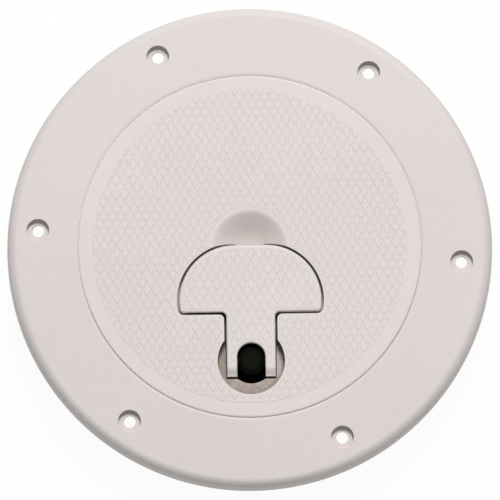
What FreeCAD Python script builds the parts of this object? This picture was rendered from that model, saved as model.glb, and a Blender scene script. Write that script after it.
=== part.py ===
import FreeCAD, Part
import math
import os

os.makedirs("parts", exist_ok=True)
V = FreeCAD.Vector
UP = V(0, 0, 1)
O = V(0, 0, 0)

# Frame: millimetres, +Z up, origin on the ring axis in the deck plane.
# +Y points from the latch spindle towards the finger scoop.

# Mounting ring sizes
RECESS_R = 71.9
FLANGE_W = 29.7
TOP_Z = 10.0
CROWN = 0.6
EDGE_W = 3.9
EDGE_H = 6.0
LIP_R = 0.5
SEAT_DEPTH = 7.0
LEDGE_T = 5.5
SEAT_W = 7.5
COLLAR_OUT = 1.3
COLLAR_T = 3.3
COLLAR_DEPTH = 26.0
SKIN_T = 3.2
SIDE_T = 3.4
INNER_T = 1.5
FLANGE_RIBS = 18
FLANGE_RIB_T = 1.8
BEVEL = 0.5

# Screw hole sizes, the pattern is turned a little against the latch
SCREW_N = 6
SCREW_INSET = 12.95
SCREW_R = 2.5
SEAT_R = 4.7
SEAT_D = 3.3
SEAT_T = 2.2
CORE_R = 4.0
BOSS_R = 6.4
SCREW_TURN = -5.1

# Lid sizes
LID_GAP = 0.2
LID_ROUND = 0.9
PLATE_T = 4.0
RIM_CLEAR = 0.3
SKIRT_GAP = 0.6
SKIRT_T = 2.7
SKIRT_RISE = 1.0
SEAL_W = 3.0
SEAL_H = 2.2
SEAL_PLAY = 0.05
SEAL_FOOT = 0.7
SEAL_BEVEL = 0.8
WALL = 2.3
RIB_T = 2.0
RIB_DEPTH = 4.6
TUB_T = 2.4
RIB_ANGLES = (0, 30, 60, 90, 120, 150, 180, 212, 328)
TONGUE_W = 30.0
TONGUE_T = 4.0
TONGUE_REACH = 5.4
TONGUE_GAP = 0.2

# Handle recess, slot, pocket and finger scoop sizes
HEAD_R = 24.1
HEAD_FLAT = 6.5
HEAD_RISE = 5.85
HEAD_GAP = 0.95
STEM_GAP = 0.9
STEM_LEN = 19.4
FLOOR_GAP = 1.6
BASE_ROUND = 2.6
NECK_ROUND = 2.0
POCKET_SIDE = 1.8
POCKET_GAP = 0.61
POCKET_ROUND = 0.9
WASHER_ROOM = 1.3
CAM_ROOM = 0.85
CAM_SIDE = 0.35
SCOOP_IN = 1.95
SCOOP_R = 16.3
SCOOP_RIM = 1.9
SCOOP_TILT = 35.0
SCOOP_FLAT = 7.5

# Handle and cam sizes
HANDLE_T = 5.0
PIVOT_DROP = 4.2
CAM_HIGH = 8.4
DRAW = 2.0
CAM_FOOT = 0.9
CAM_STEPS = 14
KNEE_IN = 7.0
HEEL_IN = 10.0
STEM_START = 5.0
PRONG_T = 4.3
NOTCH_GAP = 0.3
NOTCH_SET = 1.61
HOLLOW_D = 1.6
HOLLOW_WALL = 3.0
HOLLOW_RIB = 3.0
TIP_ARC = 3.75
TIP_TILT = 34.0
TIP_RAMP = 2.1
TOP_ROUND = 1.0
NOTCH_BEVEL = 0.4
PIN_R = 2.0
PIN_CLEAR = 0.05
PIN_SHORT = 0.6
PIN_BEVEL = 0.3

# Spindle stack sizes
SPINDLE_R = 5.6
SPINDLE_CLEAR = 0.08
FACE_R = 3.8
FACE_DROP = 0.3
FACE_BEVEL = 1.5
CAM_WASHER_W = 3.0
CAM_WASHER_T = 0.8
CAM_WASHER_BEVEL = 0.15
BORE_LEN = 6.5
TUBE_WALL = 2.82
ORING_R = 0.7
ORING_CLEAR = 0.04
ORING_RISE = 0.6
GROOVE_W = 1.8
GROOVE_PLAY = 0.02
FLOOR_T = 3.2
WIRE_R = 0.6
SPRING_GAP = 0.5
SPRING_LEN = 5.2
SPRING_TURNS = 3.25
SPRING_STEPS = 16
SPRING_WASHER_T = 0.8
SPRING_WASHER_LIP = 0.5
SQUARE_RELIEF = 0.1
SQUARE_SHORT = 0.2
SQUARE_CLEAR = 0.06
PAWL_T = 4.0
PAWL_W = 14.0
PAWL_HUB_R = 9.0
PAWL_LEG_T = 5.1
PAWL_REACH = 6.1
PAWL_WEB_T = 3.0
PAWL_WEB = 5.0
PAWL_ROUND = 3.0
NOSE_BEVEL = 1.2
BOLT_R = 2.5
BOLT_LEN = 11.0
BOLT_DEPTH = 9.6
BOLT_TIP = 0.6
BOLT_PLAY = 0.15
BOLT_WASHER_R = 6.0
BOLT_WASHER_T = 1.0
BOLT_HEAD_R = 4.6
BOLT_HEAD_H = 3.0
BOLT_FACE_R = 2.6
BOLT_DOME = 1.7
CROSS_L = 5.2
CROSS_W = 1.0
CROSS_D = 1.5

# Derived radii of the ring and the lid
RING_R = RECESS_R + FLANGE_W
THROAT_R = RECESS_R - SEAT_W
SEAL_R = RECESS_R - SEAT_W / 2
COLLAR_IN_R = RECESS_R + COLLAR_OUT
COLLAR_R = COLLAR_IN_R + COLLAR_T
SCREW_PCD = 2 * (RING_R - SCREW_INSET)
LID_R = RECESS_R - LID_GAP
SKIRT_R = THROAT_R - SKIRT_GAP

# Derived sizes of the latch
BORE_R = SPINDLE_R + SPINDLE_CLEAR
TUBE_R = BORE_R + TUBE_WALL
SQUARE = SPINDLE_R * math.sqrt(2) - SQUARE_RELIEF
CAM_WASHER_R = SPINDLE_R + CAM_WASHER_W
PAD_R = CAM_WASHER_R + WASHER_ROOM
NOTCH_W = 2 * (SPINDLE_R + NOTCH_GAP)
STEM_W = NOTCH_W + 2 * PRONG_T
SLOT_W = STEM_W + 2 * STEM_GAP
CAM_LOW = CAM_HIGH - DRAW
CAM_RATE = DRAW / (math.pi / 2)
CAM_SWEEP = math.hypot(CAM_HIGH, CAM_RATE + CAM_FOOT)
CAM_REACH = math.hypot(STEM_W / 2, CAM_SWEEP)
POCKET_R = CAM_REACH + POCKET_GAP
WELL_R = CAM_SWEEP + CAM_ROOM
WELL_HALF = STEM_W / 2 + CAM_SIDE

# Derived places along the latch line
POCKET_Y = -(SKIRT_R - POCKET_SIDE - POCKET_R)
NOTCH_Y = POCKET_Y + NOTCH_SET
BASE_Y = POCKET_Y + STEM_LEN
HEAD_Y = BASE_Y + HEAD_RISE
SCOOP_Y = HEAD_Y + HEAD_R - SCOOP_IN
TIP_Y = POCKET_Y - CAM_LOW
RAMP_Y = TIP_Y + TIP_RAMP
CREST_Y = RAMP_Y + TIP_ARC * math.sin(math.radians(TIP_TILT))
AXIS = V(0, POCKET_Y, 0)

# Derived levels
RECESS_D = HANDLE_T + FLOOR_GAP
SEAT_Z = TOP_Z - SEAT_DEPTH
UNDER_Z = SEAT_Z - LEDGE_T
PLATE_Z = TOP_Z - PLATE_T
RIM_Z = SEAT_Z + RIM_CLEAR
SKIRT_Z = UNDER_Z + SKIRT_RISE
FLOOR_Z = TOP_Z - RECESS_D
PIN_Z = TOP_Z - PIVOT_DROP
WASHER_TOP = PIN_Z - CAM_HIGH
PAD_Z = WASHER_TOP - CAM_WASHER_T
SHELF_Z = FLOOR_Z
SPRING_TOP = PAD_Z - FLOOR_T
BORE_Z = PAD_Z - BORE_LEN
SPRING_Z = SPRING_TOP - SPRING_LEN
HUB_TOP = SPRING_Z - SPRING_WASHER_T
HUB_Z = HUB_TOP - PAWL_T
ORING_Z = (PAD_Z + BORE_Z) / 2 + ORING_RISE
SKIN_LAP = 0.5


def seg(a, b):
    return Part.makeLine(a, b)


def quarter(cx, cz, rx, rz, a0, a1, n=7):
    # points of an elliptic quarter in the r, z half plane
    step = math.radians(a1 - a0) / (n - 1)
    base = math.radians(a0)
    turn = [base + step * i for i in range(n)]
    return [(cx + rx * math.cos(t), cz + rz * math.sin(t)) for t in turn]


def turned(points, centre=O):
    # solid turned about the vertical line through centre, points are (r, z)
    ring = [V(centre.x + r, centre.y, z) for r, z in points]
    face = Part.Face(Part.makePolygon(ring + [ring[0]]))
    return face.revolve(centre, UP, 360)


def spun(edges, centre):
    # solid turned about the vertical line through centre, edges may be arcs
    face = Part.Face(Part.Wire(edges))
    return face.revolve(centre, UP, 360)


def tube(r_out, r_in, z0, z1, centre=O):
    base = V(centre.x, centre.y, z0)
    body = Part.makeCylinder(r_out, z1 - z0, base, UP)
    if r_in > 0:
        body = body.cut(Part.makeCylinder(r_in, z1 - z0, base, UP))
    return body


def block(x0, x1, y0, y1, z0, z1):
    return Part.makeBox(x1 - x0, y1 - y0, z1 - z0, V(x0, y0, z0))


def upright_edges(body, test):
    found = []
    for edge in body.Edges:
        a, b = edge.Vertexes[0].Point, edge.Vertexes[-1].Point
        flat = abs(a.x - b.x) < 1e-6 and abs(a.y - b.y) < 1e-6
        if flat and abs(a.z - b.z) > 0.1 and test(a):
            found.append(edge)
    return found


def level_edges(body, z, test):
    found = []
    for edge in body.Edges:
        box = edge.BoundBox
        if abs(box.ZMin - z) < 1e-6 and abs(box.ZMax - z) < 1e-6:
            if test(edge.CenterOfMass):
                found.append(edge)
    return found


def head_outline(grow, stem_w, low_y, z0, z1):
    # mushroom outline of the recess, grown or shrunk on every side
    round_r = HEAD_R + grow
    base_y = BASE_Y - grow
    top = HEAD_Y + round_r
    head = block(-HEAD_FLAT, HEAD_FLAT, base_y, top, z0, z1)
    for x in (-HEAD_FLAT, HEAD_FLAT):
        head = head.fuse(Part.makeCylinder(round_r, z1 - z0, V(x, HEAD_Y, z0), UP))
    wide = HEAD_FLAT + round_r + 1
    head = head.common(block(-wide, wide, base_y, top + 1, z0, z1)).removeSplitter()
    corner = upright_edges(head, lambda p: p.y < base_y + 1e-3)
    head = head.makeFillet(BASE_ROUND + min(grow, 0), corner)
    stem = block(-stem_w / 2, stem_w / 2, low_y, base_y + 1, z0, z1)
    body = head.fuse(stem).removeSplitter()
    neck = upright_edges(body, lambda p: abs(p.y - base_y) < 1e-3
                         and abs(abs(p.x) - stem_w / 2) < 1e-3)
    return body.makeFillet(NECK_ROUND, neck)


def hole_points():
    step = 360.0 / SCREW_N
    turn = [math.radians(SCREW_TURN + step * i) for i in range(SCREW_N)]
    r = SCREW_PCD / 2
    return [V(r * math.cos(t), r * math.sin(t), 0) for t in turn]


# Mounting ring: flange, seat ledge and collar in one moulding
def mounting_ring():
    edge_r = RING_R - EDGE_W
    edge_z = TOP_Z - CROWN - EDGE_H
    lip_z = TOP_Z - LIP_R
    pts = [(RING_R, 0)] + quarter(edge_r, edge_z, EDGE_W, EDGE_H, 0, 90, 6)
    pts += quarter(RECESS_R + LIP_R, lip_z, LIP_R, LIP_R, 90, 180, 3)
    pts += [(RECESS_R, SEAT_Z), (THROAT_R, SEAT_Z), (THROAT_R, UNDER_Z)]
    pts += [(COLLAR_IN_R, UNDER_Z), (COLLAR_IN_R, -COLLAR_DEPTH)]
    pts += [(COLLAR_R - BEVEL, -COLLAR_DEPTH), (COLLAR_R, -COLLAR_DEPTH + BEVEL)]
    pts += [(COLLAR_R, 0)]
    body = turned(pts)
    slope = CROWN / (edge_r - RECESS_R)
    in_r, out_r = COLLAR_R + INNER_T, RING_R - SIDE_T
    roof = TOP_Z - SKIN_T
    hollow = turned([(in_r, 0), (out_r, 0), (out_r, roof), (in_r, roof)])
    bosses = [tube(BOSS_R, 0, 0, TOP_Z, p) for p in hole_points()]
    for i in range(FLANGE_RIBS):
        rib = block(in_r - 1, out_r + 1, -FLANGE_RIB_T / 2, FLANGE_RIB_T / 2, 0, TOP_Z)
        rib.rotate(O, UP, SCREW_TURN + 360.0 * (i + 0.5) / FLANGE_RIBS)
        bosses.append(rib)
    body = body.cut(hollow.cut(bosses))
    face_z = TOP_Z - slope * (SCREW_PCD / 2 - RECESS_R)
    floor = face_z - SEAT_D
    hole = [(0, -1), (CORE_R, -1), (CORE_R, floor - SEAT_T), (SCREW_R, floor - SEAT_T)]
    hole += [(SCREW_R, floor), (SEAT_R, floor), (SEAT_R, TOP_Z + 1), (0, TOP_Z + 1)]
    return body.cut([turned(hole, p) for p in hole_points()])


# Lid: domed scoop, handle recess, spindle pocket, skirt, ribs and tongue
def scoop(wall):
    tilt = math.radians(SCOOP_TILT)
    half = tilt / 2
    rim = SCOOP_RIM / math.sin(tilt)
    ball = SCOOP_FLAT / math.sin(tilt)
    join_r = SCOOP_R - SCOOP_RIM
    join_z = TOP_Z - rim * (1 - math.cos(tilt))
    low_z = join_z - (join_r - SCOOP_FLAT) * math.tan(tilt)
    floor = low_z - ball * (1 - math.cos(tilt))
    centre = V(0, SCOOP_Y, 0)
    if wall > 0:
        roof = PLATE_Z + SKIN_LAP
        turn_z = low_z - wall / math.cos(tilt)
        out_r = SCOOP_FLAT + (roof - turn_z) / math.tan(tilt)
        return turned([(0, floor - wall), (SCOOP_FLAT, turn_z), (out_r, roof), (0, roof)], centre)
    low = V(0, SCOOP_Y, floor)
    dip = V(ball * math.sin(half), SCOOP_Y, floor + ball * (1 - math.cos(half)))
    turn = V(SCOOP_FLAT, SCOOP_Y, low_z)
    join = V(join_r, SCOOP_Y, join_z)
    mid = V(SCOOP_R - rim * math.sin(half), SCOOP_Y, TOP_Z - rim * (1 - math.cos(half)))
    top = V(SCOOP_R, SCOOP_Y, TOP_Z)
    head = V(SCOOP_R, SCOOP_Y, TOP_Z + 1)
    cap = V(0, SCOOP_Y, TOP_Z + 1)
    edges = [Part.Arc(low, dip, turn).toShape(), seg(turn, join)]
    edges += [Part.Arc(join, mid, top).toShape(), seg(top, head), seg(head, cap), seg(cap, low)]
    return spun(edges, centre)


def cam_well(wall, low_z):
    # room below the pin axis that the two cams sweep
    half = WELL_HALF + wall
    well = Part.makeCylinder(WELL_R + wall, 2 * half, V(-half, POCKET_Y, PIN_Z), V(1, 0, 0))
    return well.common(tube(POCKET_R + wall, 0, low_z, PIN_Z, AXIS))


def pocket():
    # round pocket with a shelf, a well for the turning cams and a seat for the washer
    rr = POCKET_ROUND
    pts = [(0, SHELF_Z)] + quarter(POCKET_R - rr, SHELF_Z + rr, rr, rr, -90, 0, 5)
    pts += [(POCKET_R, TOP_Z + 1), (0, TOP_Z + 1)]
    seat = tube(PAD_R, 0, PAD_Z, SHELF_Z + 1, AXIS)
    return turned(pts, AXIS).fuse([cam_well(0, PAD_Z), seat])


def tub(wall):
    # outside of the pocket, one wall away from it, with a flat seat for the spring
    top = PLATE_Z + SKIN_LAP
    shelf = tube(POCKET_R + wall, 0, SHELF_Z - wall, top, AXIS)
    seat = tube(PAD_R + wall, 0, SPRING_TOP, SHELF_Z, AXIS)
    return shelf.fuse([cam_well(wall, SPRING_TOP), seat])


def lid():
    half = SEAL_W / 2
    groove = SEAT_Z + SEAL_H
    pts = [(0, TOP_Z)]
    pts += quarter(LID_R - LID_ROUND, TOP_Z - LID_ROUND, LID_ROUND, LID_ROUND, 90, 0, 5)
    pts += [(LID_R, RIM_Z), (SEAL_R + half, RIM_Z), (SEAL_R + half, groove)]
    pts += [(SEAL_R - half, groove), (SEAL_R - half, RIM_Z), (SKIRT_R, RIM_Z)]
    pts += [(SKIRT_R, SKIRT_Z), (SKIRT_R - SKIRT_T, SKIRT_Z)]
    pts += [(SKIRT_R - SKIRT_T, PLATE_Z), (0, PLATE_Z)]
    body = turned(pts)
    inner_r = SKIRT_R - SKIRT_T / 2
    roof = PLATE_Z + SKIN_LAP
    bits = [head_outline(WALL, SLOT_W + 2 * WALL, POCKET_Y, FLOOR_Z - TUB_T, roof), tub(WALL)]
    bits += [tube(TUBE_R, 0, BORE_Z, SPRING_TOP + SKIN_LAP, AXIS), scoop(WALL)]
    for angle in RIB_ANGLES:
        rib = block(0, inner_r, -RIB_T / 2, RIB_T / 2, PLATE_Z - RIB_DEPTH, roof)
        rib.rotate(O, UP, angle)
        bits.append(rib)
    extra = bits[0].multiFuse(bits[1:])
    extra = extra.common(tube(SKIRT_R, 0, BORE_Z - 1, TOP_Z - 1))
    tongue_r = THROAT_R + TONGUE_REACH
    low, top = UNDER_Z - TONGUE_GAP - TONGUE_T, UNDER_Z - TONGUE_GAP
    hook = tube(tongue_r, SKIRT_R - SKIRT_T, low, top)
    hook = hook.fuse(tube(SKIRT_R, SKIRT_R - SKIRT_T, low, PLATE_Z))
    hook = hook.common(block(-TONGUE_W / 2, TONGUE_W / 2, 0, RING_R, low, TOP_Z))
    body = body.fuse([extra, hook])
    recess = head_outline(0, SLOT_W, POCKET_Y, FLOOR_Z, TOP_Z + 1)
    dish = recess.fuse([pocket(), scoop(0)])
    body = body.cut(dish)
    body = body.cut(tube(BORE_R, 0, BORE_Z - 1, PAD_Z + 1, AXIS))
    return body.removeSplitter()


# Lid seal: flat topped section with a narrow foot, in the groove of the lid
def lid_seal():
    w, roof = SEAL_W / 2 - SEAL_PLAY, SEAT_Z + SEAL_H
    pts = [(SEAL_R - SEAL_FOOT, SEAT_Z), (SEAL_R + SEAL_FOOT, SEAT_Z)]
    pts += [(SEAL_R + w, SEAT_Z + SEAL_BEVEL), (SEAL_R + w, roof)]
    pts += [(SEAL_R - w, roof), (SEAL_R - w, SEAT_Z + SEAL_BEVEL)]
    return turned(pts)


# Handle: mushroom grip, forked stem and two cam prongs
def cam_profile():
    pts = []
    for i in range(CAM_STEPS + 1):
        phi = (math.pi / 2) * (1 - i / CAM_STEPS)
        h = CAM_HIGH - CAM_RATE * phi
        y = -h * math.sin(phi) + CAM_RATE * math.cos(phi)
        z = -h * math.cos(phi) - CAM_RATE * math.sin(phi)
        pts.append(V(0, POCKET_Y + y, PIN_Z + z))
    return pts


def prongs():
    start = V(0, POCKET_Y + HEEL_IN, TOP_Z)
    crest = V(0, CREST_Y, TOP_Z)
    tilt = math.radians(TIP_TILT)
    bend = V(0, CREST_Y - TIP_ARC * math.sin(tilt / 2), TOP_Z - TIP_ARC * (1 - math.cos(tilt / 2)))
    ramp = V(0, RAMP_Y, TOP_Z - TIP_ARC * (1 - math.cos(tilt)))
    tip = V(0, TIP_Y, ramp.z - TIP_RAMP * math.tan(tilt))
    cam = cam_profile()
    curve = Part.BSplineCurve()
    curve.interpolate(cam)
    foot = cam[-1] + V(0, CAM_FOOT, 0)
    knee = V(0, POCKET_Y + KNEE_IN, TOP_Z - HANDLE_T)
    heel = V(0, POCKET_Y + HEEL_IN, TOP_Z - HANDLE_T)
    edges = [seg(start, crest), Part.Arc(crest, bend, ramp).toShape(), seg(ramp, tip)]
    edges += [seg(tip, cam[0]), curve.toShape(), seg(cam[-1], foot), seg(foot, knee)]
    edges += [seg(knee, heel), seg(heel, start)]
    face = Part.Face(Part.Wire(edges))
    face.translate(V(-STEM_W / 2, 0, 0))
    return face.extrude(V(STEM_W, 0, 0))


def handle():
    low_z = TOP_Z - HANDLE_T
    body = head_outline(-HEAD_GAP, STEM_W, POCKET_Y + STEM_START, low_z, TOP_Z)
    body = body.fuse(prongs()).removeSplitter()
    notch = tube(NOTCH_W / 2, 0, WASHER_TOP - 1, TOP_Z + 1, V(0, NOTCH_Y, 0))
    slot = block(-NOTCH_W / 2, NOTCH_W / 2, TIP_Y - 1, NOTCH_Y, WASHER_TOP - 1, TOP_Z + 1)
    body = body.cut(notch.fuse(slot))
    r = HEAD_R - HEAD_GAP - HOLLOW_WALL
    top_z = low_z + HOLLOW_D
    low_y, high_y = BASE_Y + HEAD_GAP + HOLLOW_WALL, HEAD_Y + r
    hollow = block(-HEAD_FLAT, HEAD_FLAT, low_y, high_y, low_z - 1, top_z)
    for x in (-HEAD_FLAT, HEAD_FLAT):
        hollow = hollow.fuse(tube(r, 0, low_z - 1, top_z, V(x, HEAD_Y, 0)))
    wide = HEAD_FLAT + r
    keep = block(-wide, wide, low_y, high_y, low_z - 1, top_z)
    rib = block(-HOLLOW_RIB / 2, HOLLOW_RIB / 2, BASE_Y, HEAD_Y + r, low_z - 1, top_z)
    hollow = hollow.common(keep).cut(rib)
    bores = [Part.makeCylinder(PIN_R + PIN_CLEAR, STEM_W, V(0, POCKET_Y, PIN_Z), V(side, 0, 0))
             for side in (-1, 1)]
    body = body.cut(bores + [hollow])
    under = block(-STEM_W, STEM_W, POCKET_Y - STEM_W, POCKET_Y + STEM_W,
                  WASHER_TOP - 1, PIN_Z - CAM_RATE)
    cams = body.common(under)
    body = body.cut(under)
    inner = (NOTCH_W + PRONG_T) / 2
    edge = level_edges(body, TOP_Z, lambda p: abs(p.x) < inner and CREST_Y < p.y < BASE_Y)
    body = body.makeChamfer(NOTCH_BEVEL, edge)
    rim = level_edges(body, TOP_Z, lambda p: p.y > CREST_Y and (abs(p.x) > inner or p.y > BASE_Y))
    return body.makeFillet(TOP_ROUND, rim).fuse(cams).removeSplitter()


# Handle pin: cross pin through the spindle head
def handle_pin():
    length = STEM_W - PIN_SHORT
    body = Part.makeCylinder(PIN_R, length, V(-length / 2, POCKET_Y, PIN_Z), V(1, 0, 0))
    ends = [e for e in body.Edges if e.Curve.TypeId == "Part::GeomCircle"]
    return body.makeChamfer(PIN_BEVEL, ends)


# Spindle: bevelled head, seal groove, square drive and threaded end
def spindle():
    top = TOP_Z - FACE_DROP
    high, low = ORING_Z + GROOVE_W / 2, ORING_Z - GROOVE_W / 2
    neck_r = BORE_R - ORING_CLEAR - 2 * ORING_R - GROOVE_PLAY
    pts = [(0, top), (FACE_R, top), (SPINDLE_R, top - FACE_BEVEL)]
    pts += [(SPINDLE_R, high), (neck_r, high), (neck_r, low), (SPINDLE_R, low)]
    pts += [(SPINDLE_R, HUB_TOP), (0, HUB_TOP)]
    body = turned(pts, AXIS)
    h = SQUARE / 2
    drive = block(-h, h, POCKET_Y - h, POCKET_Y + h, HUB_Z + SQUARE_SHORT, HUB_TOP + SKIN_LAP)
    body = body.fuse(drive)
    hole = Part.makeCylinder(PIN_R, 4 * SPINDLE_R, V(-2 * SPINDLE_R, POCKET_Y, PIN_Z), V(1, 0, 0))
    body = body.cut(hole)
    body = body.cut(tube(BOLT_R, 0, HUB_Z - 1, HUB_Z + BOLT_LEN, AXIS))
    return body.removeSplitter()


def spindle_o_ring():
    r = BORE_R - ORING_CLEAR - ORING_R
    turn = [math.pi * (i + 0.5) / 4 for i in range(8)]
    grow = ORING_R / math.cos(math.pi / 8)
    return turned([(r + grow * math.cos(t), ORING_Z + grow * math.sin(t)) for t in turn], AXIS)


# Cam washer: the wear face under the two cams
def cam_washer():
    body = tube(CAM_WASHER_R, BORE_R, PAD_Z, WASHER_TOP, AXIS)
    return body.makeChamfer(CAM_WASHER_BEVEL, level_edges(body, WASHER_TOP, lambda p: True))


# Latch spring: open coil with ground ends
def latch_spring():
    mean_r = TUBE_R + SPRING_GAP + WIRE_R
    low = SPRING_Z + WIRE_R / 2
    rise = SPRING_LEN - WIRE_R
    steps = int(SPRING_TURNS * SPRING_STEPS)
    path = []
    for i in range(steps + 1):
        turn = 2 * math.pi * i / SPRING_STEPS
        z = low + rise * i / steps
        path.append(V(mean_r * math.cos(turn), POCKET_Y + mean_r * math.sin(turn), z))
    grow = WIRE_R / math.cos(math.pi / 8)
    ring = [math.pi * (i + 0.5) / 4 for i in range(9)]
    corners = [path[0] + V(grow * math.cos(t), 0, grow * math.sin(t)) for t in ring]
    wire = Part.makePolygon(corners)
    coil = Part.makePolygon(path).makePipeShell([wire], True, False, 1)
    return coil.common(tube(mean_r + 2, 0, SPRING_Z, SPRING_TOP, AXIS))


def spring_washer():
    r = TUBE_R + SPRING_GAP + 2 * WIRE_R + SPRING_WASHER_LIP
    return tube(r, BORE_R, HUB_TOP, SPRING_Z, AXIS)


# Latch pawl: hub, arm and raised nose under the ring ledge
def latch_pawl():
    half = PAWL_W / 2
    nose_y = -(THROAT_R + PAWL_REACH)
    heel_y = nose_y + PAWL_LEG_T
    body = tube(PAWL_HUB_R, 0, HUB_Z, HUB_TOP, AXIS)
    body = body.fuse(block(-half, half, nose_y, POCKET_Y, HUB_Z, HUB_TOP))
    body = body.fuse(block(-half, half, nose_y, heel_y, HUB_Z, UNDER_Z))
    side = -PAWL_WEB_T / 2
    root = V(side, heel_y + PAWL_WEB, HUB_TOP)
    foot, peak = V(side, heel_y, HUB_TOP), V(side, heel_y, HUB_TOP + PAWL_WEB)
    web = Part.Face(Part.makePolygon([root, foot, peak, root]))
    body = body.fuse(web.extrude(V(PAWL_WEB_T, 0, 0))).removeSplitter()
    outer = [e for e in body.Edges if abs(e.BoundBox.YMin - nose_y) < 1e-6
             and abs(e.BoundBox.YMax - nose_y) < 1e-6 and abs(e.BoundBox.ZMax - HUB_Z) < 1e-6]
    body = body.makeFillet(PAWL_ROUND, outer)
    nose = [e for e in body.Edges if abs(e.BoundBox.ZMin - UNDER_Z) < 1e-6
            and abs(abs(e.CenterOfMass.x) - half) < 1e-6]
    body = body.makeChamfer(NOSE_BEVEL, nose)
    h = SQUARE / 2 + SQUARE_CLEAR
    return body.cut(block(-h, h, POCKET_Y - h, POCKET_Y + h, HUB_Z - 1, HUB_TOP + 1))


def pawl_washer():
    return tube(BOLT_WASHER_R, BOLT_R + BOLT_PLAY, HUB_Z - BOLT_WASHER_T, HUB_Z, AXIS)


# Pawl screw: domed head with a cross slot and its shank
def pawl_screw():
    top = HUB_Z - BOLT_WASHER_T
    low = top - BOLT_HEAD_H
    end = HUB_Z + BOLT_DEPTH
    pts = [(0, low)] + quarter(BOLT_FACE_R, low + BOLT_DOME, BOLT_HEAD_R - BOLT_FACE_R,
                               BOLT_DOME, -90, 0, 4)
    pts += [(BOLT_HEAD_R, top), (BOLT_R, top), (BOLT_R, end - BOLT_TIP)]
    pts += [(BOLT_R - BOLT_TIP, end), (0, end)]
    body = turned(pts, AXIS)
    long, wide, deep = CROSS_L / 2, CROSS_W / 2, low + CROSS_D
    body = body.cut(block(-long, long, POCKET_Y - wide, POCKET_Y + wide, low - 1, deep))
    return body.cut(block(-wide, wide, POCKET_Y - long, POCKET_Y + long, low - 1, deep))


MAKERS = (mounting_ring, lid, lid_seal, cam_washer, latch_spring, handle, handle_pin,
          spindle, spindle_o_ring, spring_washer, latch_pawl, pawl_washer, pawl_screw)

for maker in MAKERS:
    shape = maker()
    if shape.ShapeType != "Solid" and len(shape.Solids) == 1:
        shape = shape.Solids[0]
    shape.exportStep("parts/" + maker.__name__ + ".step")
    size = shape.BoundBox
    print(maker.__name__, shape.isValid(), len(shape.Solids), round(shape.Volume, 1),
          [round(v, 2) for v in (size.XMin, size.XMax, size.YMin, size.YMax, size.ZMin, size.ZMax)])
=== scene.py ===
"""Looks of the deck inspection plate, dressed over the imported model, in metres."""
import logging
import math
from contextlib import contextmanager
from dataclasses import dataclass, field
from enum import Enum
from typing import Callable, Iterator, Sequence

import bmesh
import bpy
from mathutils import Euler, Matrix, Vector


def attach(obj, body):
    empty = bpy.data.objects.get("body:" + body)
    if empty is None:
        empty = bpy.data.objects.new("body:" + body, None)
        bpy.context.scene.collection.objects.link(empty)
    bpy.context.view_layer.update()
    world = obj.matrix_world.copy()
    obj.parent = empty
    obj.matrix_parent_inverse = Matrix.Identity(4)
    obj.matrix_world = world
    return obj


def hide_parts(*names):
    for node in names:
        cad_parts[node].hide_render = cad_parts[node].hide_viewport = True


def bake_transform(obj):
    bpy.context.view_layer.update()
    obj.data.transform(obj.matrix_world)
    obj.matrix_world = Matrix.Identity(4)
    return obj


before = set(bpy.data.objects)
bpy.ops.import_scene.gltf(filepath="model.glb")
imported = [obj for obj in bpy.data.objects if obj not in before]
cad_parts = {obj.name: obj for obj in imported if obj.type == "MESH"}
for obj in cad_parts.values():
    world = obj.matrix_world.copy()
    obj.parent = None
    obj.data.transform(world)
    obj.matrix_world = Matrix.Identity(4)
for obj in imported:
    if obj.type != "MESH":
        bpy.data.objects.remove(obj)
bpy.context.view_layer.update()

LOG = logging.getLogger("deck_plate")
MM = 0.001
TOP = 10.0 * MM  # level of the top of the plate
POCKET_Y = -48.0 * MM  # axis of the pocket and the latch
POCKET_R = 14.0 * MM
FACING = 0.9  # least z of a direction that counts as upright
NEAR_AXIS = 1.0 * MM  # reach of the middle of an end face
Step = tuple[float, float]
Spot = tuple[float, float]
Point = tuple[float, float, float]
Colour = tuple[float, float, float, float]
Piece = bpy.types.Object
Material = bpy.types.Material
WHITE: Colour = (1.0, 1.0, 1.0, 1.0)


class Body(Enum):
    """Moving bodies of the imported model."""

    RING = "ring"
    LID = "lid"
    SPINDLE = "spindle"
    HANDLE = "handle"


class Side(Enum):
    """Which end face of a drum is worked on."""

    TOP = 1.0
    BOTTOM = -1.0


class Cut(Enum):
    """How a cutter works on a piece."""

    AWAY = "DIFFERENCE"
    KEEP = "INTERSECT"
    JOIN = "UNION"


# Shader values and node recipes


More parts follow.
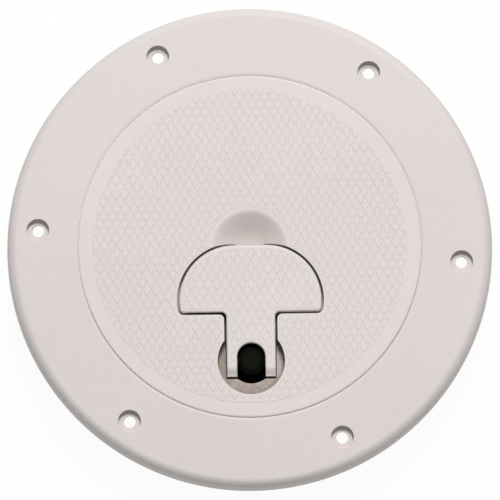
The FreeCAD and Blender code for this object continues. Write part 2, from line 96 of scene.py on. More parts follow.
class Value:
    """A shader socket; every operator and method used on it adds a node."""

    def __init__(self, recipe: "Recipe", socket: bpy.types.NodeSocket) -> None:
        """Keeps the recipe and the socket."""
        self.recipe = recipe
        self.socket = socket

    def math(self, operation: str, *terms: "Value | float", clamp: bool = False) -> "Value":
        """Adds one Math node.

        Args:
            operation: name of the Math operation.
            terms: what fills the node's inputs, in order.
            clamp: whether the result is held between 0 and 1.

        Returns:
            The node's result.
        """
        settings = {"operation": operation, "use_clamp": clamp}
        return self.recipe.value("ShaderNodeMath", settings, dict(enumerate(terms)))

    def __add__(self, other: "Value | float") -> "Value":
        """Sum."""
        return self.math("ADD", self, other)

    __radd__ = __add__

    def __sub__(self, other: "Value | float") -> "Value":
        """Difference."""
        return self.math("SUBTRACT", self, other)

    def __rsub__(self, other: float) -> "Value":
        """Difference with the value on the right."""
        return self.math("SUBTRACT", other, self)

    def __mul__(self, other: "Value | float") -> "Value":
        """Product."""
        return self.math("MULTIPLY", self, other)

    def size(self) -> "Value":
        """The value without its sign."""
        return self.math("ABSOLUTE", self)

    def root(self) -> "Value":
        """Square root."""
        return self.math("SQRT", self)

    def wave(self) -> "Value":
        """Sine."""
        return self.math("SINE", self)

    def held(self) -> "Value":
        """The value held between 0 and 1."""
        return self.math("ADD", self, 0.0, clamp=True)

    def rise(self, low: float, high: float) -> "Value":
        """Smooth step from 0 at low to 1 at high, and the other way where low is the larger.

        Args:
            low: where the step gives 0.
            high: where the step gives 1.

        Returns:
            The stepped value.
        """
        settings = {"interpolation_type": "SMOOTHSTEP"}
        values = {"Value": self, "From Min": low, "From Max": high}
        return self.recipe.value("ShaderNodeMapRange", settings, values)

    def moved(self, scale: Point = (1.0, 1.0, 1.0), location: Point = (0.0, 0.0, 0.0),
              turn: float = 0.0) -> "Value":
        """Coordinates scaled, turned about Z and moved."""
        values = {"Vector": self, "Scale": scale, "Location": location,
                  "Rotation": (0.0, 0.0, turn)}
        return self.recipe.value("ShaderNodeMapping", None, values)

    def noise(self, scale: float, detail: float = 2.0, rough: float = 0.5) -> "Value":
        """Fractal noise between 0 and 1 at these coordinates."""
        values = {"Vector": self, "Scale": scale, "Detail": detail, "Roughness": rough}
        return self.recipe.value("ShaderNodeTexNoise", None, values, "Fac")


@dataclass
class Place:
    """Object coordinates of a surface point, in metres."""

    vector: Value
    x: Value
    y: Value
    z: Value

    def radius(self, centre_x: float = 0.0, centre_y: float = 0.0) -> Value:
        """Distance from an upright line."""
        dx, dy = self.x - centre_x, self.y - centre_y
        return (dx * dx + dy * dy).root()

    def below(self, shallow: float, deep: float) -> Value:
        """Smooth step from 0 to 1 between two depths under the top, in millimetres."""
        return self.z.rise(TOP - shallow * MM, TOP - deep * MM)

    def nowhere(self) -> Value:
        """A mask that is 0 all over."""
        return self.z * 0.0


class Recipe:
    """The node tree of one procedural material or world."""

    def __init__(self, owner: Material | bpy.types.World) -> None:
        """Empties the owner's node tree."""
        self.owner = owner
        owner.use_nodes = True
        self.tree = owner.node_tree
        self.tree.nodes.clear()

    def node(self, kind: str, settings: dict | None = None,
             values: dict | None = None) -> bpy.types.Node:
        """Adds a node.

        Args:
            kind: the node's type.
            settings: properties that are set first.
            values: numbers, colours or Values for the inputs, by name or index.

        Returns:
            The new node.
        """
        made = self.tree.nodes.new(kind)
        for key, setting in (settings or {}).items():
            setattr(made, key, setting)
        for key, value in (values or {}).items():
            if isinstance(value, Value):
                self.tree.links.new(value.socket, made.inputs[key])
            else:
                made.inputs[key].default_value = value
        return made

    def value(self, kind: str, settings: dict | None = None, values: dict | None = None,
              output: str | int = 0) -> Value:
        """Adds a node and returns one of its outputs."""
        return Value(self, self.node(kind, settings, values).outputs[output])

    def place(self) -> Place:
        """Object coordinates, whole and as three numbers."""
        vector = self.value("ShaderNodeTexCoord", output="Object")
        split = self.node("ShaderNodeSeparateXYZ", None, {0: vector})
        return Place(vector, *(Value(self, split.outputs[i]) for i in range(3)))

    def blend(self, factor: Value, first: "Value | Colour", second: "Value | Colour") -> Value:
        """Mixes two colours.

        Args:
            factor: 0 gives the first colour and 1 the second.
            first: a colour or a link.
            second: a colour or a link.

        Returns:
            The mixed colour.
        """
        settings = {"data_type": "RGBA", "clamp_factor": True}
        return self.value("ShaderNodeMix", settings, {0: factor, 6: first, 7: second}, 2)

    def bump(self, height: Value, distance: float, strength: float = 1.0,
             under: Value | None = None) -> Value:
        """Bump normal from a height, over an earlier normal if one is given."""
        values = {"Height": height, "Distance": distance, "Strength": strength}
        if under is not None:
            values["Normal"] = under
        return self.value("ShaderNodeBump", None, values, "Normal")

    def finish(self, **inputs: "Value | float | Colour") -> Material:
        """Adds the surface shader.

        Args:
            inputs: sockets of the surface shader, with underscores for spaces.

        Returns:
            The finished material.
        """
        named = {key.replace("_", " "): value for key, value in inputs.items()}
        shader = self.value("ShaderNodeBsdfPrincipled", None, named)
        self.node("ShaderNodeOutputMaterial", None, {"Surface": shader})
        return self.owner


# Finishes


@dataclass(frozen=True)
class MouldedPlastic:
    """Satin off white plastic with a fine moulded grain."""

    name: str = "moulded_plastic"
    pale: Colour = (0.745, 0.683, 0.663, 1.0)
    deep: Colour = (0.700, 0.640, 0.618, 1.0)
    # brown of soiling, also the colour of painted shade in hollows
    soiling_and_shade_colour: Colour = (0.36, 0.30, 0.26, 1.0)
    # near-black of painted shadow in the gaps beside the handle
    gap_shadow_colour: Colour = (0.085, 0.075, 0.068, 1.0)
    # near-white of painted light on shaded edges and tips
    painted_light_colour: Colour = (0.97, 0.93, 0.92, 1.0)
    speck: Colour = (0.56, 0.50, 0.47, 1.0)
    dust: float = 0.30
    roughness: float = 0.58
    grain: float = 0.010 * MM
    specular: float = 0.42
    broad_scale: float = 14.0
    broad_swing: float = 1.3
    wave_scale: float = 60.0
    scratch_scale: float = 160.0
    scratch_turn: float = 24.0
    scratch_stretch: Point = (1.0, 14.0, 1.0)
    mottle_scale: float = 210.0
    mottle_swing: float = 0.9
    smear_scale: float = 520.0
    fleck_scale: float = 900.0
    fleck_share: float = 0.35
    grain_scale: float = 2300.0

    def soiling_and_shade(self, at: Place) -> Value:
        """Where brown soiling gathers and painted shade darkens; none on a plain surface."""
        return at.nowhere()

    def black(self, at: Place) -> Value:
        """Where a near-black painted shadow fills a gap; none on a plain surface."""
        return at.nowhere()

    def painted_light(self, at: Place) -> Value:
        """Where painted light brightens a shaded edge; none on a plain surface."""
        return at.nowhere()

    def wear(self, at: Place) -> Value:
        """Where it is polished by use; none on a plain surface."""
        return at.nowhere()

    def build(self) -> Material:
        """Builds the material.

        Returns:
            The material.
        """
        recipe = Recipe(bpy.data.materials.new(self.name))
        at = recipe.place()
        broad = at.vector.noise(self.broad_scale)
        mottle = at.vector.noise(self.mottle_scale, 3.0, 0.6)
        aside = at.vector.moved(location=(0.31, 0.17, 0.05))
        fleck = aside.noise(self.fleck_scale, 1.0)
        shade = (broad - 0.5) * self.broad_swing + (mottle - 0.5) * self.mottle_swing
        shade = (shade + 0.5).held()
        colour = recipe.blend(shade, self.deep, self.pale)
        colour = recipe.blend(fleck.rise(0.70, 0.78) * self.fleck_share, colour, self.speck)
        # Painted light: the colour is pulled towards a near-white where the painted-light mask
        # says.
        colour = recipe.blend(self.painted_light(at), colour, self.painted_light_colour)
        smear = at.vector.noise(self.smear_scale)
        # Brown soiling and painted shade: darker in hollows and on the side away from the key
        # light.
        soiling_and_shade = (self.soiling_and_shade(at) * (0.55 + smear * 0.9)).held()
        colour = recipe.blend(soiling_and_shade, colour, self.soiling_and_shade_colour)
        # Painted shadow: near-black lines in the gaps beside the handle.
        colour = recipe.blend((self.black(at) * (0.75 + smear * 0.5)).held(), colour, self.gap_shadow_colour)
        drawn = at.vector.moved(self.scratch_stretch, turn=math.radians(self.scratch_turn))
        scratch = drawn.noise(self.scratch_scale)
        gloss = self.roughness + (mottle - 0.5) * 0.10 + soiling_and_shade * 0.18
        gloss = gloss - self.wear(at) * 0.05 - scratch.rise(0.60, 0.72) * 0.05
        grain = at.vector.noise(self.grain_scale, 2.0, 0.55)
        waves = at.vector.noise(self.wave_scale, 1.0)
        normal = recipe.bump(waves, 0.04 * MM, 0.5)
        normal = recipe.bump(grain, self.grain, 0.6, normal)
        normal = recipe.bump(scratch.rise(0.62, 0.74), -0.006 * MM, 0.5, normal)
        return recipe.finish(Base_Color=colour, Roughness=gloss.held(), Normal=normal,
                             Specular_IOR_Level=self.specular)


def painted_gap_shadow(at: Place) -> Value:
    """Painted shadow lines deep in the gaps beside the handle's stem and under the head's left
    side, where the gaps lie in shade.

    Args:
        at: place on the lid or the handle.

    Returns:
        1 in the lines and 0 elsewhere.
    """
    inner, outer = (9.7 * MM, 10.1 * MM), (11.8 * MM, 11.4 * MM)
    foot, shoulder = (-43.0 * MM, -40.5 * MM), (-27.6 * MM, -29.0 * MM)
    side = at.x.size()
    line = side.rise(*inner) * side.rise(*outer) * at.y.rise(*foot) * at.y.rise(*shoulder)
    front, back = (-27.0 * MM, -27.5 * MM), (-29.6 * MM, -29.0 * MM)
    stem, corner = (-10.0 * MM, -12.0 * MM), (-28.0 * MM, -25.0 * MM)
    base = at.y.rise(*front) * at.y.rise(*back) * at.x.rise(*stem) * at.x.rise(*corner)
    return (line + base).held() * at.below(0.7, 2.0)


def seam_lit_side(at: Place) -> Value:
    """Side of the seam towards the key light, for painted light: 1 away from the latch and 0
    beside it.
    """
    return at.y.rise(-50.0 * MM, 10.0 * MM)


def seam_shaded_side(at: Place) -> Value:
    """Side of the seam away from the key light, for painted shade: 1 beside the latch and 0 away
    from it.
    """
    return at.y.rise(-10.0 * MM, -66.0 * MM)


def tread_foot(at: Place) -> Value:
    """Dust line round the foot of the raised diamonds.

    Args:
        at: place on the lid or the handle.

    Returns:
        1 at the foot and 0 elsewhere.
    """
    return at.z.rise(TOP + 0.11 * MM, TOP + 0.03 * MM) * at.z.rise(TOP, TOP + 0.004 * MM)


@dataclass(frozen=True)
class RingPlastic(MouldedPlastic):
    """Plastic of the mounting ring, with painted shade in the seat beside the latch and on its
    deeper faces, and painted light on the lip.
    """

    name: str = "ring_plastic"
    recess: float = 71.9 * MM
    # shares of painted shade: the seat beside the latch and the faces deep down
    seat_shade: float = 0.8
    deep_shade: float = 0.10

    def soiling_and_shade(self, at: Place) -> Value:
        """Painted shade on the latch side of the seat, away from the key light, and on every face
        from about 3 mm below the top downwards, the screw seats too.
        """
        seat = at.radius().rise(self.recess + 0.6 * MM, self.recess + 0.1 * MM)
        seat = seat * at.below(0.3, 1.6) * seam_shaded_side(at)
        sunk = at.below(2.6, 3.6)
        return (seat * self.seat_shade + sunk * self.deep_shade).held()

    def painted_light(self, at: Place) -> Value:
        """Painted light in the lip beside the seam, on the side towards the key light and none
        beside the latch.
        """
        lip = at.radius().rise(self.recess + 1.0 * MM, self.recess + 0.4 * MM)
        return lip * at.below(0.1, 0.4) * seam_lit_side(at)

    def wear(self, at: Place) -> Value:
        """Polish on the rounded outer edge."""
        return at.radius().rise(96.0 * MM, 100.0 * MM)


@dataclass(frozen=True)
class LidPlastic(MouldedPlastic):
    """Plastic of the lid, brown with soiling and painted shade deep in the pocket and the slot."""

    name: str = "lid_plastic"
    pale: Colour = (0.775, 0.710, 0.690, 1.0)
    deep: Colour = (0.728, 0.666, 0.643, 1.0)
    rim: float = 71.70 * MM
    # shares of the pocket's brown soiling and painted shade, then painted shade in its corners, on
    # its left side, on the step, deep down and on the rim beside the latch
    pocket_soiling_and_shade: float = 0.46
    corner_shade: float = 0.42
    left_shade: float = 0.50
    step_shade: float = 0.30
    depth_shade: float = 0.12
    rim_shade: float = 0.7

    def soiling_and_shade(self, at: Place) -> Value:
        """Brown soiling and painted shade in the pocket, painted shade in the recess and down the
        rim away from the key light, and dust round the diamonds.

        Args:
            at: place on the lid.

        Returns:
            0 where clean and unshaded and up to 1 where darkest.
        """
        # painted shade that grows with depth below the top
        low = at.below(0.6, 3.2)
        reach = at.radius(0.0, POCKET_Y)
        pocket = reach.rise(POCKET_R + 1.0 * MM, POCKET_R + 0.2 * MM) * low
        rim = at.radius().rise(self.rim - 1.2 * MM, self.rim - 0.1 * MM)
        rim = rim * at.below(0.35, 1.1) * seam_shaded_side(at)
        # painted shade near the pocket wall, where the rim casts shadow
        corner = reach.rise(POCKET_R - 1.8 * MM, POCKET_R - 0.3 * MM)
        # painted shade on the pocket's left side and on the step in front of the cams
        left, step = at.x.rise(-9.2 * MM, -12.4 * MM), at.y.rise(-54.8 * MM, -55.3 * MM)
        soiling_and_shade_sum = pocket * (self.pocket_soiling_and_shade + corner * self.corner_shade
                           + left * self.left_shade + step * self.step_shade)
        soiling_and_shade_sum = soiling_and_shade_sum + low * self.depth_shade + rim * self.rim_shade
        return (soiling_and_shade_sum + tread_foot(at) * self.dust).held()

    def painted_light(self, at: Place) -> Value:
        """Painted light in the rounded rim beside the seam, on the side towards the key light and
        none beside the latch.
        """
        rim = at.radius().rise(self.rim - 0.8 * MM, self.rim - 0.3 * MM)
        return rim * at.below(0.15, 0.5) * seam_lit_side(at)

    def black(self, at: Place) -> Value:
        """Painted shadow lines beside the handle's stem."""
        return painted_gap_shadow(at)


@dataclass(frozen=True)
class GripPlastic(MouldedPlastic):
    """Plastic of the handle, polished by hands, with painted shade down its sides."""

    name: str = "grip_plastic"
    pale: Colour = (0.785, 0.722, 0.703, 1.0)
    deep: Colour = (0.728, 0.666, 0.643, 1.0)
    # shares of painted shade on the sides and of painted light on the cam tips
    depth_shade: float = 0.22
    tip_painted_light: float = 0.8

    def soiling_and_shade(self, at: Place) -> Value:
        """Painted shade on the sides below the top and dust round the diamonds, none on the tips
        of the cams.
        """
        # painted shade that grows with depth below the top, kept off the cam tips
        low = at.below(0.9, 3.0)
        low = low * at.y.rise(-53.0 * MM, -51.0 * MM)
        return (low * self.depth_shade + tread_foot(at) * self.dust).held()

    def painted_light(self, at: Place) -> Value:
        """Painted light on the tips of the cams, which lie in shade."""
        return at.y.rise(-53.0 * MM, -54.5 * MM) * self.tip_painted_light

    def black(self, at: Place) -> Value:
        """Painted shadow lines on the two sides of the stem."""
        return painted_gap_shadow(at)

    def wear(self, at: Place) -> Value:
        """Polish on the front edge that fingers lift."""
        return at.y.rise(-8.0 * MM, 0.0)


@dataclass(frozen=True)
class BlackPlastic:
    """Black engineering plastic with faint rings from the mould or the lathe."""

    name: str = "black_plastic"
    dark: Colour = (0.0022, 0.0029, 0.0014, 1.0)
    faded: Colour = (0.0056, 0.0066, 0.0040, 1.0)
    roughness: float = 0.55
    specular: float = 0.05
    ring_pitch: float = 0.45 * MM
    mottle_scale: float = 700.0
    dust_scale: float = 2600.0

    def build(self) -> Material:
        """Builds the material.

        Returns:
            The material.
        """
        recipe = Recipe(bpy.data.materials.new(self.name))
        at = recipe.place()
        mottle = at.vector.noise(self.mottle_scale, 3.0, 0.6)
        dust = at.vector.noise(self.dust_scale).rise(0.60, 0.74)
        colour = recipe.blend((mottle * 0.8 + dust * 0.35).held(), self.dark, self.faded)
        rings = (at.radius(0.0, POCKET_Y) * (2 * math.pi / self.ring_pitch)).wave()
        gloss = self.roughness + (mottle - 0.5) * 0.22 + dust * 0.12
        normal = recipe.bump(rings, 0.003 * MM, 0.6)
        normal = recipe.bump(mottle, 0.010 * MM, 0.6, normal)
        return recipe.finish(Base_Color=colour, Roughness=gloss.held(), Normal=normal,
                             Specular_IOR_Level=self.specular)


@dataclass(frozen=True)
class SealRubber:
    """Matt black rubber with a dusty bloom."""

    name: str = "seal_rubber"
    dark: Colour = (0.016, 0.016, 0.016, 1.0)
    bloom: Colour = (0.060, 0.058, 0.054, 1.0)
    roughness: float = 0.78
    specular: float = 0.35
    cloud_scale: float = 120.0
    pore_scale: float = 3200.0

    def build(self) -> Material:
        """Builds the material.

        Returns:
            The material.
        """
        recipe = Recipe(bpy.data.materials.new(self.name))
        at = recipe.place()
        cloud = at.vector.noise(self.cloud_scale, 4.0, 0.65)
        pores = at.vector.noise(self.pore_scale)
        colour = recipe.blend(cloud.rise(0.42, 0.75), self.dark, self.bloom)
        gloss = self.roughness + (cloud - 0.5) * 0.2
        normal = recipe.bump(pores, 0.012 * MM, 0.7)
        return recipe.finish(Base_Color=colour, Roughness=gloss.held(), Normal=normal,
                             Specular_IOR_Level=self.specular)


@dataclass(frozen=True)
class SatinSteel:
    """Stainless steel with fine scratches along one direction and tea stains."""

    name: str = "satin_steel"
    bright: Colour = (0.62, 0.61, 0.59, 1.0)
    dull: Colour = (0.47, 0.45, 0.42, 1.0)
    stain: Colour = (0.30, 0.19, 0.10, 1.0)
    roughness: float = 0.30
    stretch: Point = (30.0, 1.0, 1.0)
    cloud_scale: float = 150.0
    stain_scale: float = 260.0
    line_scale: float = 420.0

    def build(self) -> Material:
        """Builds the material.

        Returns:
            The material.
        """
        recipe = Recipe(bpy.data.materials.new(self.name))
        at = recipe.place()
        drawn = at.vector.moved(self.stretch)
        lines = drawn.noise(self.line_scale, 3.0, 0.6)
        cloud = at.vector.noise(self.cloud_scale, 3.0, 0.6)
        aside = at.vector.moved(location=(0.2, 0.4, 0.1))
        stain = aside.noise(self.stain_scale, 4.0, 0.7)
        colour = recipe.blend((lines * 0.6 + cloud * 0.4).held(), self.dull, self.bright)
        stained = stain.rise(0.60, 0.80) * 0.35
        colour = recipe.blend(stained, colour, self.stain)
        gloss = self.roughness + (lines - 0.5) * 0.25 + stained * 0.5
        normal = recipe.bump(lines, 0.004 * MM, 0.7)
        return recipe.finish(Base_Color=colour, Metallic=1.0 - stained * 0.6,
                             Roughness=gloss.held(), Normal=normal)


# Modelling helpers


class Bench:
    """Modelling operators, as used by hand, with every selection made in code."""

    @staticmethod
    def only(obj: Piece) -> None:
        """Selects one object alone and makes it active."""
        bpy.ops.object.select_all(action="DESELECT")
        obj.select_set(True)
        bpy.context.view_layer.objects.active = obj

    @staticmethod
    @contextmanager
    def editing(obj: Piece) -> Iterator[None]:
        """Opens an object in edit mode with nothing selected."""
        Bench.only(obj)
        bpy.ops.object.mode_set(mode="EDIT")
        bpy.ops.mesh.select_mode(type="FACE")
        bpy.ops.mesh.select_all(action="DESELECT")
        try:
            yield
        finally:
            bpy.ops.object.mode_set(mode="OBJECT")

    @staticmethod
    def pick(obj: Piece, kind: str, test: Callable[[Vector, Vector], bool]) -> None:
        """Selects faces or edges of the object being edited by their place.

        Args:
            obj: the object in edit mode.
            kind: FACE or EDGE.
            test: takes the middle and the normal or direction, and says whether to select.
        """
        bpy.ops.mesh.select_mode(type=kind)
        mesh = bmesh.from_edit_mesh(obj.data)
        for item in (mesh.faces if kind == "FACE" else mesh.edges):
            if kind == "FACE":
                item.select_set(test(item.calc_center_median(), item.normal))
            else:
                a, b = (v.co for v in item.verts)
                item.select_set(test((a + b) / 2, (b - a).normalized()))
        mesh.select_flush_mode()
        bmesh.update_edit_mesh(obj.data)

    @staticmethod
    def settle(obj: Piece, name: str) -> Piece:
        """Puts the place into the mesh, so that the object sits at the origin."""
        Bench.only(obj)
        bpy.ops.object.transform_apply(location=True, rotation=True, scale=True)
        obj.name = name
        obj.data.name = name
        return obj

    @staticmethod
    def drum(name: str, radius: float, low: float, high: float, sides: int = 96,
             centre: Spot = (0.0, 0.0)) -> Piece:
        """Upright cylinder between two levels."""
        bpy.ops.object.select_all(action="DESELECT")
        bpy.ops.mesh.primitive_cylinder_add(
            vertices=sides, radius=radius, depth=high - low,
            location=(centre[0], centre[1], (low + high) / 2))
        return Bench.settle(bpy.context.active_object, name)

    @staticmethod
    def off(point: Vector, centre: Spot = (0.0, 0.0)) -> float:
        """Distance of a point from an upright axis."""
        return math.hypot(point.x - centre[0], point.y - centre[1])

    @staticmethod
    def lathe(obj: Piece, side: Side, start: Step, steps: Sequence[Step],
              centre: Spot = (0.0, 0.0)) -> None:
        """Draws the end face of a drum through a run of radii and levels.

        Args:
            obj: the drum.
            side: which end face is drawn out.
            start: radius and level of that face.
            steps: radius and level after each extrusion.
            centre: the drum's upright axis.
        """
        with Bench.editing(obj):
            Bench.pick(obj, "FACE", lambda middle, normal: normal.z * side.value > FACING
                       and Bench.off(middle, centre) < NEAR_AXIS)
            radius, level = start
            for wide, high in steps:
                bpy.ops.mesh.extrude_region_move(
                    TRANSFORM_OT_translate={"value": (0.0, 0.0, high - level)})
                bpy.ops.transform.resize(value=(wide / radius, wide / radius, 1.0),
                                         center_override=(*centre, high))
                radius, level = wide, high

    @staticmethod
    def around(obj: Piece, count: int, first: float) -> Piece:
        """Repeats a piece about the Z axis and joins the copies.

        Args:
            obj: the piece, at an angle of 0.
            count: how many pieces there are in the round.
            first: angle of the first piece, in degrees.

        Returns:
            The joined pieces.
        """
        copies = [obj]
        for _ in range(count - 1):
            made = obj.copy()
            made.data = obj.data.copy()
            bpy.context.scene.collection.objects.link(made)
            copies.append(made)
        Bench.only(obj)
        for index, made in enumerate(copies):
            made.rotation_euler.z = math.radians(first + 360.0 * index / count)
            made.select_set(True)
        bpy.ops.object.join()
        return Bench.settle(obj, obj.name)

    @staticmethod
    def slab(name: str, low: Point, high: Point) -> Piece:
        """Box between two corners."""
        bpy.ops.object.select_all(action="DESELECT")
        middle = [(a + b) / 2 for a, b in zip(low, high)]
        bpy.ops.mesh.primitive_cube_add(size=1.0, location=middle)
        made = bpy.context.active_object
        made.scale = [b - a for a, b in zip(low, high)]
        return Bench.settle(made, name)

    @staticmethod
    def apply(obj: Piece, kind: str, **settings: object) -> None:
        """Adds a modifier and applies it.

        Args:
            obj: the object.
            kind: the modifier's type.
            settings: the modifier's properties.
        """
        Bench.only(obj)
        made = obj.modifiers.new(kind.lower(), kind)
        for key, value in settings.items():
            setattr(made, key, value)
        bpy.ops.object.modifier_apply(modifier=made.name)

    @staticmethod
    def cut(obj: Piece, cutter: Piece, how: Cut) -> None:
        """Works a cutter on a piece and throws the cutter away."""
        Bench.apply(obj, "BOOLEAN", operation=how.value, object=cutter, solver="EXACT")
        bpy.data.objects.remove(cutter, do_unlink=True)

    @staticmethod
    def smooth(obj: Piece, degrees: float = 30.0) -> None:
        """Smooth shading up to an angle."""
        Bench.only(obj)
        bpy.ops.object.shade_smooth_by_angle(angle=math.radians(degrees))


def paint(obj: Piece, material: Material) -> None:
    """Gives a modelled piece its one material."""
    obj.data.materials.clear()
    obj.data.materials.append(material)
    LOG.info("%s has %d faces", obj.name, len(obj.data.polygons))


def dress(node: str, material: Material) -> None:
    """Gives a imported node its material, slot by slot."""
    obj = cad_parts[node]
    if not obj.material_slots:
        obj.data.materials.append(material)
    for slot in obj.material_slots:
        slot.material = material
    LOG.info("dressed %s with %s", node, material.name)


# Sub-assemblies


@dataclass
class Recess:
    """Outline of the handle recess, shared by the lid and the handle."""

    head_r: float = 24.1 * MM
    head_flat: float = 6.5 * MM
    head_y: float = -22.75 * MM
    base_y: float = -28.60 * MM
    stem_half: float = 11.1 * MM
    scoop_y: float = -0.60 * MM
    scoop_r: float = 16.3 * MM
    head_sides: int = 126

    def head(self, name: str, grow: float, low: float, high: float) -> Piece:
        """Makes the head of the outline as a stretched drum cut along its base.

        Args:
            name: name of the object.
            grow: how far the outline is moved outwards.
            low: lower level.
            high: upper level.

        Returns:
            The head.
        """
        made = Bench.drum(name, self.head_r + grow, low, high, self.head_sides,
                          (0.0, self.head_y))
        with Bench.editing(made):
            for side in (-1.0, 1.0):
                Bench.pick(made, "EDGE", lambda middle, along: abs(along.z) > FACING
                           and middle.x * side > 0.001 * MM)
                bpy.ops.transform.translate(value=(side * self.head_flat, 0.0, 0.0))
            bpy.ops.mesh.select_all(action="SELECT")
            bpy.ops.mesh.bisect(plane_co=(0.0, self.base_y - grow, 0.0),
                                plane_no=(0.0, 1.0, 0.0), use_fill=True, clear_inner=True)
        return made


@dataclass
class Tread:
    """Raised diamonds moulded on a flat top, in one lattice for lid and handle."""

    name: str
    height: float = 0.16 * MM
    root: float = 0.08 * MM
    pitch_x: float = 3.58 * MM
    pitch_y: float = 6.20 * MM
    groove: float = 0.12 * MM
    slope: float = 0.36 * MM
    offset_x: float = 0.04 * MM
    offset_y: float = 0.41 * MM

    def pad(self, centre: Spot) -> Piece:
        """Makes one diamond as a low frustum.

        Args:
            centre: middle of the diamond.

        Returns:
            The diamond.
        """
        half_x, half_y = self.pitch_x / 2, self.pitch_y / 2
        reach = half_x * half_y / math.hypot(half_x, half_y)
        bpy.ops.object.select_all(action="DESELECT")
        bpy.ops.mesh.primitive_cylinder_add(
            vertices=4, radius=1.0, depth=self.root + self.height,
            location=(*centre, TOP + (self.height - self.root) / 2))
        made = bpy.context.active_object
        grow = 1 - self.groove / reach
        made.scale = (half_x * grow, half_y * grow, 1.0)
        Bench.settle(made, self.name)
        with Bench.editing(made):
            Bench.pick(made, "FACE", lambda middle, normal: normal.z > FACING)
            bpy.ops.transform.resize(
                value=(1 - self.slope / (reach - self.groove),) * 2 + (1.0,),
                center_override=(*centre, TOP))
        return made

    def field(self, low: Spot, high: Spot) -> Piece:
        """Repeats the diamond over a rectangle.

        Args:
            low: lowest x and y to cover.
            high: highest x and y to cover.

        Returns:
            All the diamonds as one object.
        """
        first = [math.floor((a - o) / p) * p + o for a, o, p in
                 zip(low, (self.offset_x, self.offset_y), (self.pitch_x, self.pitch_y))]
        pads = self.pad((first[0], first[1]))
        counts = [math.ceil((b - a) / p) + 1 for a, b, p in
                  zip(first, high, (self.pitch_x, self.pitch_y))]
        steps = ((self.pitch_x, 0.0, 0.0), (0.0, self.pitch_y, 0.0),
                 (self.pitch_x / 2, self.pitch_y / 2, 0.0))
        for count, step in zip((*counts, 2), steps):
            Bench.apply(pads, "ARRAY", count=count, use_relative_offset=False,
                        use_constant_offset=True, constant_offset_displace=step)
        return pads


